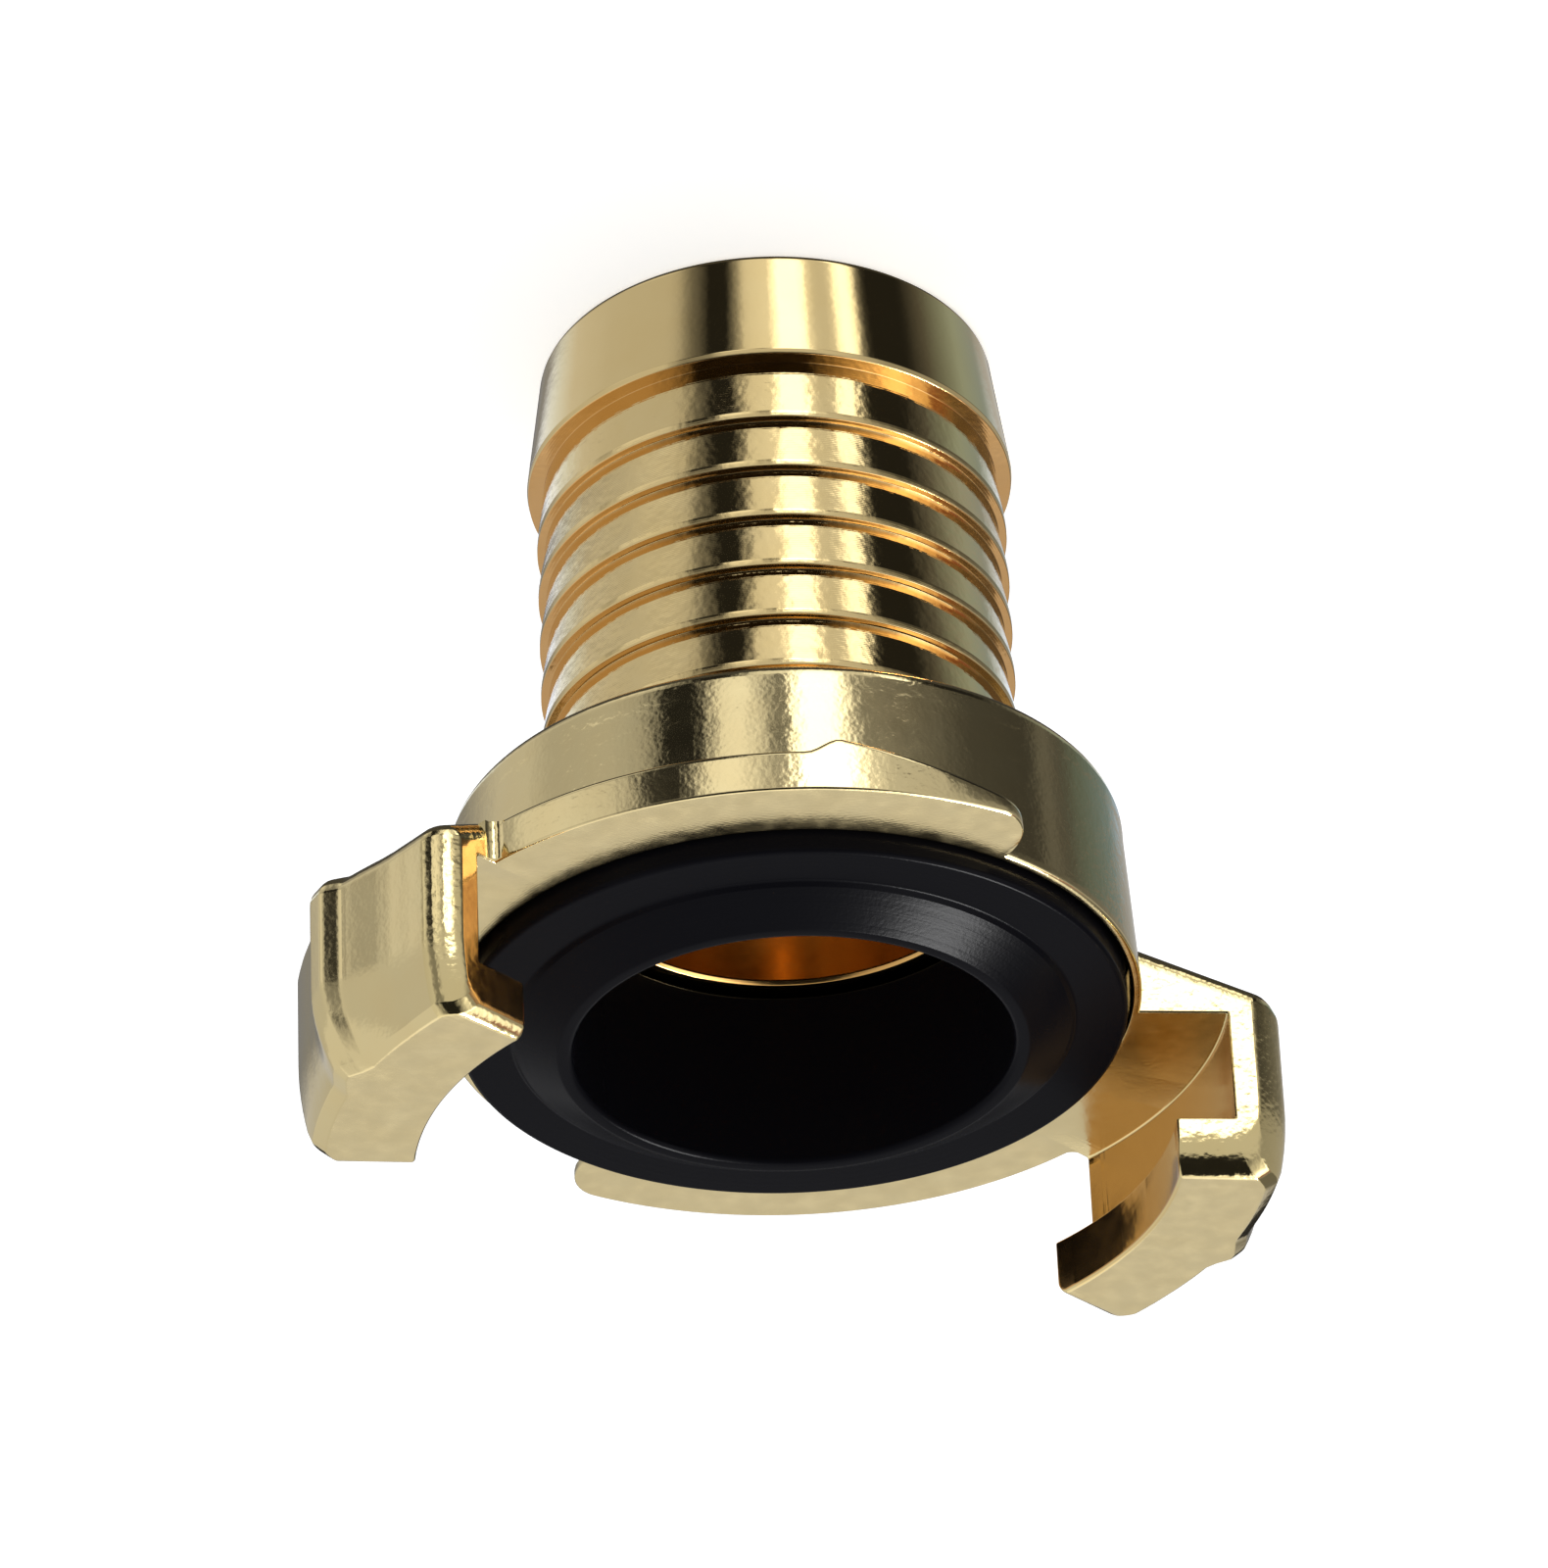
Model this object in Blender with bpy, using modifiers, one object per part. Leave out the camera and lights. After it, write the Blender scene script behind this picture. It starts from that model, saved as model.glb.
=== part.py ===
"""Claw hose coupling: a one-piece brass body with two claws, and the rubber seal in its mouth.

It stands on the end of its hose tail, claws up. Heights run from that end, and azimuths
run clockwise seen from above, starting at the -Y side. Radial sizes are worked out from
the bore outwards, so each of them can be changed by itself.
"""
import math

import bmesh
import bpy

for old in list(bpy.data.objects):
    bpy.data.objects.remove(old, do_unlink=True)

mm = 0.001

# Seal ring, in millimetres like every size below.
sealGap = 0.3
sealHoleStep = 0.9
sealSleeveWall = 2.0
sealBandWidth = 2.75
sealBandHeight = 1.1
sealLipRise = 1.5
sealLipRound = 0.35
sealBandStep = 0.25
sealEdgeRound = 0.3

# Bore, seal pocket, mouth and ring.
latheSteps = 72
boreRadius = 10.7
boreEdge = 0.3
pocketFloorThickness = 2.2
mouthStep = 4.05
mouthDepth = 3.6
mouthWall = 0.5
ringThickness = 10.3
ringTaper = 0.5
ringEdgeRound = 0.8

# Hose tail: cone at its end, the ridges that hold the hose, hollows above them, a fillet to the ring.
tailLength = 29.9
tailWall = 1.6
tipRound = 0.6
coneLength = 7.2
coneTaper = 0.9
coneShoulder = 0.95
coneEdgeRound = 0.2
firstRidgeStep = 3.8
ridgePitch = 3.15
ridgeDepth = 0.5
ridgeCrestHeight = 0.7
ridgeCrestRound = 0.25
tailFillet = 0.8

# Claws: sections from end B, where a partner's collar enters, to end A, beside the collar.
hookRunningRoom = 1.55
hookOverlap = 1.9
slotRoom = 1.2
slotHeight = 6.4
hookThickness = 3.25
hookChamferHeight = 0.5
hookChamferWidth = 0.7
sideCurveHeight = 5.0
clawStart = 95.3
clawSpan = 42.0
clawEndRound = 1.2
clawCornerRound = 1.8
clawBackRound = 1.2
armRootDrop = 4.3
armTipDrop = 1.65
ribPlace = 0.517
# Thickness of the claw's wall outside its slot, against the distance from the rib's crest, minus
# towards end B: wall, rib, the hollow behind it and the flank. First where the side is upright,
# then at its foot, then the border of the hook's flat face.
uprightOutline = [
    (-10.4, 3.0), (-4.2, 3.05), (-2.3, 3.3), (-0.9, 3.95), (-0.4, 4.3), (0.45, 4.3), (0.75, 4.0),
    (0.95, 3.4), (1.4, 3.1), (2.3, 2.7), (3.7, 2.45), (6.0, 2.5), (9.6, 2.6),
]
footOutline = [(-10.4, 2.25), (-2.0, 2.4), (-0.5, 2.7), (0.0, 2.65), (0.75, 2.0), (1.4, 1.75), (9.6, 1.55)]
hookOutline = [(-10.4, 1.6), (-2.0, 1.75), (-0.5, 2.35), (0.0, 2.4), (0.75, 1.9), (1.4, 1.65), (9.6, 1.5)]

# Collar ramps: turned from the claw's end A, in degrees.
collarSpan = 80.5
collarCrestTurn = 50.7
collarRiseTurn = 4.7
collarBury = 7.3
collarThickness = 2.4
collarCrest = 3.15
collarEndThickness = 0.55
collarEndLength = 2.7
collarEdgeRound = 0.3

# Worked out from the sizes above.
cutMargin = 1.0
sealHoleRadius = boreRadius + sealHoleStep
sealPocketRadius = sealHoleRadius + sealSleeveWall + sealGap
mouthRadius = sealPocketRadius + mouthStep
ringFrontRadius = mouthRadius + mouthWall
hookRadius = ringFrontRadius + hookRunningRoom
collarRadius = hookRadius + hookOverlap
slotRadius = collarRadius + slotRoom
clawOuterRadius = slotRadius + uprightOutline[0][1]
clawLength = math.radians(clawSpan) * clawOuterRadius
rootRadius = boreRadius + tailWall
frontHeight = tailLength + ringThickness
pocketFloorHeight = tailLength + pocketFloorThickness
mouthFloorHeight = frontHeight - mouthDepth
hookHeight = slotHeight + hookThickness
buriedRadius = (sealPocketRadius + mouthRadius) / 2


def place(radius, azimuth, height):
    """A point in metres from millimetres and an azimuth in degrees."""
    turn = math.radians(azimuth)
    return (-radius * math.sin(turn) * mm, -radius * math.cos(turn) * mm, height * mm)


def arc(centreX, centreY, radius, start, end, count):
    """Points of a round stretch in a section, ends included, angles in degrees."""
    points = []
    for step in range(count + 1):
        turn = math.radians(start + (end - start) * step / count)
        points.append((centreX + radius * math.cos(turn), centreY + radius * math.sin(turn)))
    return points


def spread(low, high, widest):
    """Even stations from low up to high, without high, no wider apart than asked."""
    count = max(1, math.ceil((high - low) / widest))
    return [low + (high - low) * step / count for step in range(count)]


def quarterStations(radius, count=5):
    """Distances from an end that follow a quarter-round by equal angles."""
    return [radius * (1 - math.cos(math.pi / 2 * step / count)) for step in range(count + 1)]


def roundedInset(distance, radius):
    """How far a quarter-round of a radius leaves a side back, at a distance from its end."""
    left = max(0.0, radius - distance)
    return radius - math.sqrt(radius ** 2 - left ** 2)


def collection(name):
    group = bpy.data.collections.new(name)
    bpy.context.scene.collection.children.link(group)
    return group


def material(name, colour, roughness, metallic):
    made = bpy.data.materials.new(name)
    made.use_nodes = True
    shader = made.node_tree.nodes["Principled BSDF"]
    shader.inputs["Base Color"].default_value = (*colour, 1.0)
    shader.inputs["Roughness"].default_value = roughness
    shader.inputs["Metallic"].default_value = metallic
    return made


def addObject(name, mesh, group):
    made = bpy.data.objects.new(name, mesh)
    group.objects.link(made)
    return made


def lathe(name, section, group):
    """A closed section of (radius, height) points, turned once around Z by a Screw modifier."""
    mesh = bpy.data.meshes.new(name)
    count = len(section)
    edges = []
    for index in range(count):
        following = (index + 1) % count
        onAxis = section[index][0] == 0 and section[following][0] == 0
        if not onAxis:
            edges.append((index, following))
    mesh.from_pydata([(radius * mm, 0.0, height * mm) for radius, height in section], edges, [])
    made = addObject(name, mesh, group)
    turn = made.modifiers.new("turn", "SCREW")
    turn.axis = "Z"
    turn.angle = math.radians(360)
    turn.steps = latheSteps
    turn.render_steps = latheSteps
    turn.use_merge_vertices = True
    turn.merge_threshold = 0.00001
    return made


def loft(name, sections, group):
    """Skins a row of like sections, each a closed ring of points, and closes both ends."""
    count = len(sections[0])
    points = [point for section in sections for point in section]
    faces = [tuple(range(count)), tuple(range((len(sections) - 1) * count, len(sections) * count))]
    for row in range(len(sections) - 1):
        for column in range(count):
            following = (column + 1) % count
            low = row * count
            high = low + count
            faces.append((low + column, low + following, high + following, high + column))
    mesh = bpy.data.meshes.new(name)
    mesh.from_pydata(points, [], faces)
    form = bmesh.new()
    form.from_mesh(mesh)
    bmesh.ops.recalc_face_normals(form, faces=form.faces)
    form.to_mesh(mesh)
    form.free()
    mesh.shade_smooth()
    return addObject(name, mesh, group)


def tailSection():
    """The hose tail's outer side from the ring down to its end: ridges with hollows above, and the cone."""
    ridgeRadius = rootRadius + ridgeDepth
    ridgeHollow = ridgeDepth - ridgeCrestRound / 2
    coneRadius = rootRadius + coneShoulder
    coneHollow = coneShoulder - coneEdgeRound
    firstRidgeHeight = coneLength + firstRidgeStep
    ridgeRoom = tailLength - tailFillet - firstRidgeHeight
    ridgeCount = int(ridgeRoom / ridgePitch) + 1
    points = arc(rootRadius + tailFillet, tailLength - tailFillet, tailFillet, 90, 180, 2)
    for index in reversed(range(ridgeCount)):
        top = firstRidgeHeight + index * ridgePitch
        points += arc(rootRadius + ridgeHollow, top + ridgeHollow, ridgeHollow, 180, 270, 2)
        points.append((ridgeRadius, top - ridgeCrestRound))
        points.append((ridgeRadius, top - ridgeCrestHeight))
    points += arc(rootRadius + coneHollow, coneLength + coneHollow, coneHollow, 180, 270, 3)
    points.append((coneRadius, coneLength - coneEdgeRound))
    points += arc(coneRadius - coneTaper - tipRound, tipRound, tipRound, 0, -90, 4)
    return points


def forgedSection():
    """The outer side of the ring and the tail, as a solid to be bored."""
    ringBackRadius = ringFrontRadius - ringTaper
    overFront = ringTaper * cutMargin / ringThickness
    side = [(0.0, frontHeight + cutMargin), (ringFrontRadius + overFront, frontHeight + cutMargin)]
    side += arc(ringBackRadius - ringEdgeRound, tailLength + ringEdgeRound, ringEdgeRound, 0, -90, 3)
    side += tailSection()
    side.append((0.0, 0.0))
    return side


def cavitySection():
    """All that is turned away: bore, seal pocket, mouth, front face, claw slots and hook edges."""
    slotTop = frontHeight + slotHeight
    aboveHooks = frontHeight + hookHeight + cutMargin
    return [
        (0.0, aboveHooks),
        (hookRadius, aboveHooks),
        (hookRadius, slotTop),
        (slotRadius, slotTop),
        (slotRadius, frontHeight),
        (mouthRadius, frontHeight),
        (mouthRadius, mouthFloorHeight),
        (sealPocketRadius, mouthFloorHeight),
        (sealPocketRadius, pocketFloorHeight),
        (boreRadius + boreEdge, pocketFloorHeight),
        (boreRadius, pocketFloorHeight - boreEdge),
        (boreRadius, boreEdge),
        (boreRadius + boreEdge, 0.0),
        (boreRadius + boreEdge, -cutMargin),
        (0.0, -cutMargin),
    ]


def readOutline(outline, along):
    """The radius that an outline gives at a distance from the rib's crest."""
    for (low, lowWall), (high, highWall) in zip(outline, outline[1:]):
        if along <= high:
            share = max(0.0, (along - low) / (high - low))
            return slotRadius + lowWall + (highWall - lowWall) * share
    return slotRadius + outline[-1][1]


def clawSide(along, drop):
    """The claw's outer radius at a height over the front face: upright first, then curving in."""
    upright = readOutline(uprightOutline, along)
    foot = readOutline(footOutline, along)
    curved = max(0.0, drop - hookHeight + sideCurveHeight) / sideCurveHeight
    return upright + (foot - upright) * curved ** 2


def clawSection(azimuth, along, sideInset, flatInset):
    """One radial section of a claw: arm, wall and hook, with its outer sides moved in near an end."""
    upright = clawSide(along, 0.0)
    backSlope = (armRootDrop - armTipDrop) / (upright - clawBackRound - ringFrontRadius)
    slopeTurn = math.atan(backSlope)
    outer = upright - sideInset
    corner = clawBackRound * (1 - 0.85 * flatInset / clawEndRound)
    backAtOuter = -armTipDrop + backSlope * (clawBackRound - sideInset) + flatInset
    backAtInner = -armRootDrop - backSlope * (ringFrontRadius - buriedRadius) + flatInset
    centreDrop = backAtOuter - backSlope * corner + corner / math.cos(slopeTurn)
    section = [(buriedRadius, backAtInner)]
    section += arc(outer - corner, centreDrop, corner, math.degrees(slopeTurn) - 90, 0, 4)
    chamferDrop = hookHeight - hookChamferHeight
    for share in (0.0, 0.3, 0.6, 0.85):
        drop = hookHeight - sideCurveHeight + (sideCurveHeight - hookChamferHeight) * share
        section.append((clawSide(along, drop) - sideInset, drop))
    hookEdge = readOutline(hookOutline, along) - sideInset
    chamferRadius = min(clawSide(along, chamferDrop) - sideInset, hookEdge + hookChamferWidth)
    section.append((chamferRadius, chamferDrop - flatInset))
    section.append((hookEdge, hookHeight - flatInset))
    section.append((buriedRadius, hookHeight - flatInset))
    return [place(radius, azimuth, frontHeight + drop) for radius, drop in section]


def clawDistances():
    """Distances along a claw from end B, close together at both ends and at the rib."""
    nearEnd = quarterStations(clawCornerRound)
    ribAt = ribPlace * clawLength
    atRib = [ribAt + along for along, wall in uprightOutline]
    middle = [at for at in atRib if clawCornerRound < at < clawLength - clawCornerRound]
    return nearEnd + middle + [clawLength - distance for distance in reversed(nearEnd)]


def buildClaw(name, turned, group):
    sections = []
    for distance in clawDistances():
        fromEnd = min(distance, clawLength - distance)
        azimuth = clawStart + turned + math.degrees(distance / clawOuterRadius)
        sideInset = roundedInset(fromEnd, clawCornerRound)
        flatInset = roundedInset(fromEnd, clawEndRound)
        sections.append(clawSection(azimuth, distance - ribPlace * clawLength, sideInset, flatInset))
    return loft(name, sections, group)


def collarThicknessAt(turn):
    """Level from the claw, a short smooth rise to the crest, then a long ramp down to the end."""
    if turn < collarCrestTurn:
        rise = max(0.0, 1 - (collarCrestTurn - turn) / collarRiseTurn)
        return collarThickness + (collarCrest - collarThickness) * rise ** 2 * (3 - 2 * rise)
    share = (turn - collarCrestTurn) / (collarSpan - collarCrestTurn)
    return collarCrest + (collarEndThickness - collarCrest) * share


def collarSection(azimuth, turn):
    """One radial section of a collar ramp, with its end rounded in plan."""
    left = math.radians(collarSpan - turn) * collarRadius
    width = collarRadius - ringFrontRadius
    outer = collarRadius - width * roundedInset(left / collarEndLength, 1.0)
    thickness = collarThicknessAt(turn)
    section = [(buriedRadius, -thickness)]
    section += arc(outer - collarEdgeRound, collarEdgeRound - thickness, collarEdgeRound, -90, 0, 2)
    section += [(outer, cutMargin), (buriedRadius, cutMargin)]
    return [place(radius, azimuth, frontHeight + drop) for radius, drop in section]


def collarTurns():
    """Stations along a collar: close together on the rise and round the end, wide elsewhere."""
    riseStart = collarCrestTurn - collarRiseTurn
    endStart = collarSpan - math.degrees(collarEndLength / collarRadius)
    turns = spread(-collarBury, riseStart, 5.0)
    turns += spread(riseStart, collarCrestTurn, 1.0)
    turns += spread(collarCrestTurn, endStart, 5.0)
    atEnd = quarterStations(collarSpan - endStart)
    return turns + [collarSpan - station for station in reversed(atEnd)]


def buildCollar(name, turned, group):
    collarRoot = clawStart + clawSpan + turned
    sections = [collarSection(collarRoot + turn, turn) for turn in collarTurns()]
    return loft(name, sections, group)


def addBoolean(target, cutter, operation):
    cut = target.modifiers.new(cutter.name, "BOOLEAN")
    cut.operation = operation
    cut.solver = "EXACT"
    cut.object = cutter
    cutter.hide_render = True
    cutter.display_type = "WIRE"


def buildBody(parts, cutters):
    """The forging with its claws and collars joined on, then everything that is turned away."""
    made = lathe("coupling_body", forgedSection(), parts)
    for number, turned in enumerate((0.0, 180.0), start=1):
        addBoolean(made, buildClaw("claw_%d" % number, turned, cutters), "UNION")
        addBoolean(made, buildCollar("collar_%d" % number, turned, cutters), "UNION")
    addBoolean(made, lathe("turned_cavity", cavitySection(), cutters), "DIFFERENCE")
    return made


def sealSection():
    """The seal's section: flange in the mouth, sleeve in the pocket, cone and lip standing proud."""
    band = frontHeight + sealBandHeight
    lip = band + sealLipRise
    flangeBack = mouthFloorHeight + sealGap
    sleeveEnd = pocketFloorHeight + sealGap
    flangeRadius = mouthRadius - sealGap
    sleeveRadius = sealPocketRadius - sealGap
    bandInner = flangeRadius - sealBandWidth
    section = [(sealHoleRadius, sleeveEnd)]
    section += arc(sealHoleRadius + sealLipRound, lip - sealLipRound, sealLipRound, 180, 90, 2)
    section += [(bandInner - sealBandStep, band + sealBandStep), (bandInner, band)]
    section += arc(flangeRadius - sealEdgeRound, band - sealEdgeRound, sealEdgeRound, 90, 0, 2)
    section += [(flangeRadius, flangeBack), (sleeveRadius, flangeBack), (sleeveRadius, sleeveEnd)]
    return section


def smoothUpTo(degrees):
    """A node group that shades smooth and leaves edges sharp where faces meet more steeply."""
    group = bpy.data.node_groups.new("smooth_by_angle", "GeometryNodeTree")
    group.interface.new_socket("Geometry", in_out="INPUT", socket_type="NodeSocketGeometry")
    group.interface.new_socket("Geometry", in_out="OUTPUT", socket_type="NodeSocketGeometry")
    start = group.nodes.new("NodeGroupInput")
    end = group.nodes.new("NodeGroupOutput")
    angle = group.nodes.new("GeometryNodeInputMeshEdgeAngle")
    steep = group.nodes.new("FunctionNodeCompare")
    steep.inputs[1].default_value = math.radians(degrees)
    sharpen = group.nodes.new("GeometryNodeSetShadeSmooth")
    sharpen.domain = "EDGE"
    sharpen.inputs["Shade Smooth"].default_value = False
    group.links.new(angle.outputs["Unsigned Angle"], steep.inputs[0])
    group.links.new(start.outputs[0], sharpen.inputs["Geometry"])
    group.links.new(steep.outputs[0], sharpen.inputs["Selection"])
    group.links.new(sharpen.outputs[0], end.inputs[0])
    return group


parts = collection("claw_hose_coupling")
cutters = collection("cutters")
body = buildBody(parts, cutters)
body.data.materials.append(material("brass", (0.72, 0.55, 0.29), 0.22, 1.0))
seal = lathe("seal_ring", sealSection(), parts)
seal.data.materials.append(material("rubber", (0.018, 0.019, 0.023), 0.45, 0.0))

smoothing = smoothUpTo(32.0)
for piece in (body, seal):
    piece.modifiers.new("smooth", "NODES").node_group = smoothing
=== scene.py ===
import math

import bmesh
import bpy
from mathutils import Matrix, Vector


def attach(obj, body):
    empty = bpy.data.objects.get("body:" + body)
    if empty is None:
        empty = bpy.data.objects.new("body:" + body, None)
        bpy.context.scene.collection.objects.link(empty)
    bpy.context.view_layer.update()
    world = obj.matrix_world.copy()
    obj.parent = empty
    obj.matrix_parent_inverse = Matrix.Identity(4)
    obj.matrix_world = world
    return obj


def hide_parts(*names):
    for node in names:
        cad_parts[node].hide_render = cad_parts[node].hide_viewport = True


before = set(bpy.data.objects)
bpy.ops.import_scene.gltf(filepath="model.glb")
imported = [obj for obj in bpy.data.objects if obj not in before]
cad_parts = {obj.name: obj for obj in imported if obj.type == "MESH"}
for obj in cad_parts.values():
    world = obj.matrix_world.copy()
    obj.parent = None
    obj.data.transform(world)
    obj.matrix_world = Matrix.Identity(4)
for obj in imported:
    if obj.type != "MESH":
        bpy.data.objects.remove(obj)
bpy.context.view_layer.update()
mm = 0.001

# The coupling stands on its hose tail, claws up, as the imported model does. The camera is turned
# over about its line of sight, so the picture shows the tail at the top. Sizes are in millimetres,
# and azimuths in degrees from the side nearest the camera.


# small helpers
def place(radius, azimuth, height):
    # a point of the coupling, in metres
    turn = math.radians(azimuth)
    return Vector((-radius * math.sin(turn), -radius * math.cos(turn), height)) * mm


def directionTo(azimuth, elevation):
    turn, rise = math.radians(azimuth), math.radians(elevation)
    return Vector((-math.sin(turn) * math.cos(rise), -math.cos(turn) * math.cos(rise), math.sin(rise)))


def linkObject(name, data):
    made = bpy.data.objects.new(name, data)
    bpy.context.scene.collection.objects.link(made)
    return made


def newMaterial(name):
    made = bpy.data.materials.new(name)
    made.use_nodes = True
    made.node_tree.nodes.clear()
    output = made.node_tree.nodes.new("ShaderNodeOutputMaterial")
    return made, made.node_tree, output


def addNode(tree, kind, inputs=None, **settings):
    node = tree.nodes.new(kind)
    for key, value in settings.items():
        setattr(node, key, value)
    for key, value in (inputs or {}).items():
        if isinstance(value, bpy.types.NodeSocket):
            tree.links.new(value, node.inputs[key])
        else:
            node.inputs[key].default_value = value
    return node


def maths(tree, operation, first, second=0.0, third=0.0):
    return addNode(tree, "ShaderNodeMath", {0: first, 1: second, 2: third}, operation=operation).outputs[0]


def mixColours(tree, factor, first, second):
    # sockets 6 and 7 are a Mix node's two colours, and output 2 its colour
    return addNode(tree, "ShaderNodeMix", {0: factor, 6: first, 7: second}, data_type="RGBA").outputs[2]


def rampNode(tree, factor, stops):
    # each stop has a place and either a level of grey or a colour
    node = addNode(tree, "ShaderNodeValToRGB", {"Fac": factor})
    ramp = node.color_ramp
    while len(ramp.elements) > 1:
        ramp.elements.remove(ramp.elements[-1])
    for index, (at, level) in enumerate(stops):
        stop = ramp.elements[0] if index == 0 else ramp.elements.new(at)
        stop.position = at
        stop.color = (*level, 1.0) if isinstance(level, tuple) else (level, level, level, 1.0)
    return node.outputs["Color"]


# camera
cameraView = {
    "target": (0.444, 0.0, 26.038),     # where the line of sight passes the bore's axis
    "distance": 470.12,
    "azimuth": 0.064,
    "elevation": 32.254,
    "roll": 177.552,
    "lens": 201.81,
}


def makeCamera(view):
    data = bpy.data.cameras.new("photoCamera")
    data.lens = view["lens"]
    data.clip_start = 0.01
    made = linkObject("photoCamera", data)
    look = -directionTo(view["azimuth"], view["elevation"])
    made.location = (Vector(view["target"]) - look * view["distance"]) * mm
    facing = look.to_track_quat("-Z", "Y").to_matrix()
    made.rotation_euler = (facing @ Matrix.Rotation(math.radians(view["roll"]), 3, "Z")).to_euler()
    bpy.context.scene.camera = made


makeCamera(cameraView)
bpy.context.scene.view_settings.view_transform = "Standard"
print("camera set")

# studio: white floor and world, two lamps, and painted reflections: levels that the metal mirrors, which
# below the horizon are set for each way a wall faces as seen from this camera
studio = {
    "floorRadius": 3000.0,
    "floorColour": (0.8, 0.8, 0.8, 1.0),
    "floorLift": 0.6,          # added to the floor where it is seen, so that it reads white
    "worldLight": 0.75,
    # Below the horizon the painted reflection goes by the wall that mirrors it to the camera: levels of grey
    # or tinted colours, against the azimuth that the wall faces. Edges that face well down come first.
    "facingDown": [(-90, 0.1), (90, 0.05)],
    # Each row takes over while the height of the wall's unit normal rises through its first two
    # numbers: ridges, cone, ring, and upright walls.
    "walls": [
        (-0.36, -0.30, [
            (-90, 0.15), (-78, 0.2), (-70, 0.28), (-62, 0.3), (-54, 0.36), (-45, 0.45), (-38, 0.56),
            (-32, 0.85), (-26, 0.93), (-21, 0.75), (-18, 0.34), (-15.5, 0.1), (-14, 0.02), (-7.5, 0.02),
            (-6, 0.26), (-4, 0.95), (2.5, 1.1), (4.5, 2.3), (9, 2.0), (11.5, 0.85), (15, 0.9), (17, 2.2),
            (20.5, 1.7), (22.5, 0.2), (24.5, 0.02), (36, 0.02), (42, 0.14), (51, 0.37), (57, 0.4),
            (63, 0.35), (75, 0.6), (90, 0.8)]),
        (-0.215, -0.18, [
            (-90, (1.3, 1.45, 1.9)), (-70, (1.2, 1.35, 1.7)), (-60, (0.9, 1.0, 1.15)), (-52, 0.76),
            (-40, 0.68), (-23, 0.65), (-20.5, 0.56), (-17.5, 0.22), (-14.5, 0.1), (-13, 0.02), (-8, 0.02),
            (-6, 0.3), (-4, 0.92), (2, 1.1), (4, 2.8), (9.5, 2.8), (11.5, 0.9), (15, 0.75), (17, 0.95),
            (19, 2.5), (22, 2.4), (23.5, 0.4), (25.5, 0.02), (36, 0.02), (42, 0.11),
            (54, (0.36, 0.44, 0.44)), (63, (0.3, 0.38, 0.42)), (72, (0.9, 1.05, 1.3)),
            (90, (1.1, 1.3, 1.7))]),
        (-0.11, -0.08, [
            (-90, 0.3), (-70, 0.3), (-56, 0.68), (-48, 0.7), (-42, 0.55), (-30, 0.6), (-24, 0.5),
            (-21.5, 0.28), (-20, 0.02), (-13.5, 0.02), (-12, 0.3), (-10, 1.1), (-6, 1.25), (-2.5, 0.7),
            (0, 0.15), (1.5, 0.5), (3.5, 3.2), (9.5, 3.0), (12, 0.8), (14, 0.3), (21, 0.2), (27, 0.15),
            (33, 0.08), (46, 0.06), (50, 0.17), (54, 0.1), (60, (0.14, 0.18, 0.18)),
            (72, (0.2, 0.28, 0.32)), (90, (0.7, 0.85, 1.1))]),
        (-0.035, -0.015, [
            (-90, 0.2), (-74, 0.3), (-62, 0.6), (-57, 0.72), (-50, 0.85), (-47, 0.7), (-43.5, 0.46),
            (-41, 0.6), (-38.5, 0.92), (-32, 0.95), (-24, 0.8), (-21, 0.52), (-19, 0.06), (-13.5, 0.02),
            (-12, 0.25), (-10, 1.2), (-6, 1.3), (-2.5, 0.8), (0, 0.4), (1.5, 1.0), (3, 4.0), (9, 4.0),
            (12, 1.2), (15, 0.75), (23, 0.65), (27, 0.22), (35, 0.08), (48, 0.12), (65, 0.22), (90, 0.5)]),
    ],
    # The same for edges that face upwards, and then, above the horizon, the painted reflection at each
    # azimuth:
    # low, high and overhead. Each takes over while the mirrored direction rises through its pair.
    "edges": [(-105, 0.03), (-90, 0.6), (-24, 0.75), (-19, 0.3), (-13, 0.3), (-9, 0.75), (20, 0.75),
              (30, 0.4), (90, 0.5), (105, 0.03)],
    "edgesFrom": (-0.50, -0.40),
    "low": [(-180, 0.74), (-150, 0.74), (-118, 0.85), (-60, 0.85), (-46, 0.5), (-36, 0.02), (24, 0.02),
            (36, 0.4), (46, 0.8), (57, 1.4), (66, 3.4), (74, 3.2), (82, 1.8), (90, 1.5),
            (93, (0.55, 0.34, 0.3)), (98, (0.4, 0.22, 0.2)), (106, 0.35), (112, 0.2), (150, 0.2),
            (160, 0.74), (180, 0.74)],
    "lowFrom": (-0.10, 0.02),
    "high": [(-180, 1.3), (-110, 1.2), (-60, 0.8), (-46, 0.5), (-36, 0.02), (24, 0.02), (40, 1.6), (56, 3.5),
             (80, 3.5), (98, 1.4), (112, 0.8), (150, 1.1), (180, 1.3)],
    "highFrom": (0.58, 0.72),
    "overhead": (1.3, 1.3, 1.3, 1.0),
    "overheadFrom": (0.94, 0.99),
    "lampAim": (0.0, 0.0, 40.0),
    "softLamp": {"azimuth": 180.0, "elevation": 80.0, "distance": 600.0, "size": 600.0, "power": 1.0},
    # seen only as a highlight on the seal's cone
    "sealLamp": {"azimuth": 124.0, "elevation": 60.0, "distance": 600.0, "size": 200.0, "power": 8.5},
}


def seenDirectly(tree, path):
    return maths(tree, "MAXIMUM", path["Is Camera Ray"], path["Is Transmission Ray"])


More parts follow.
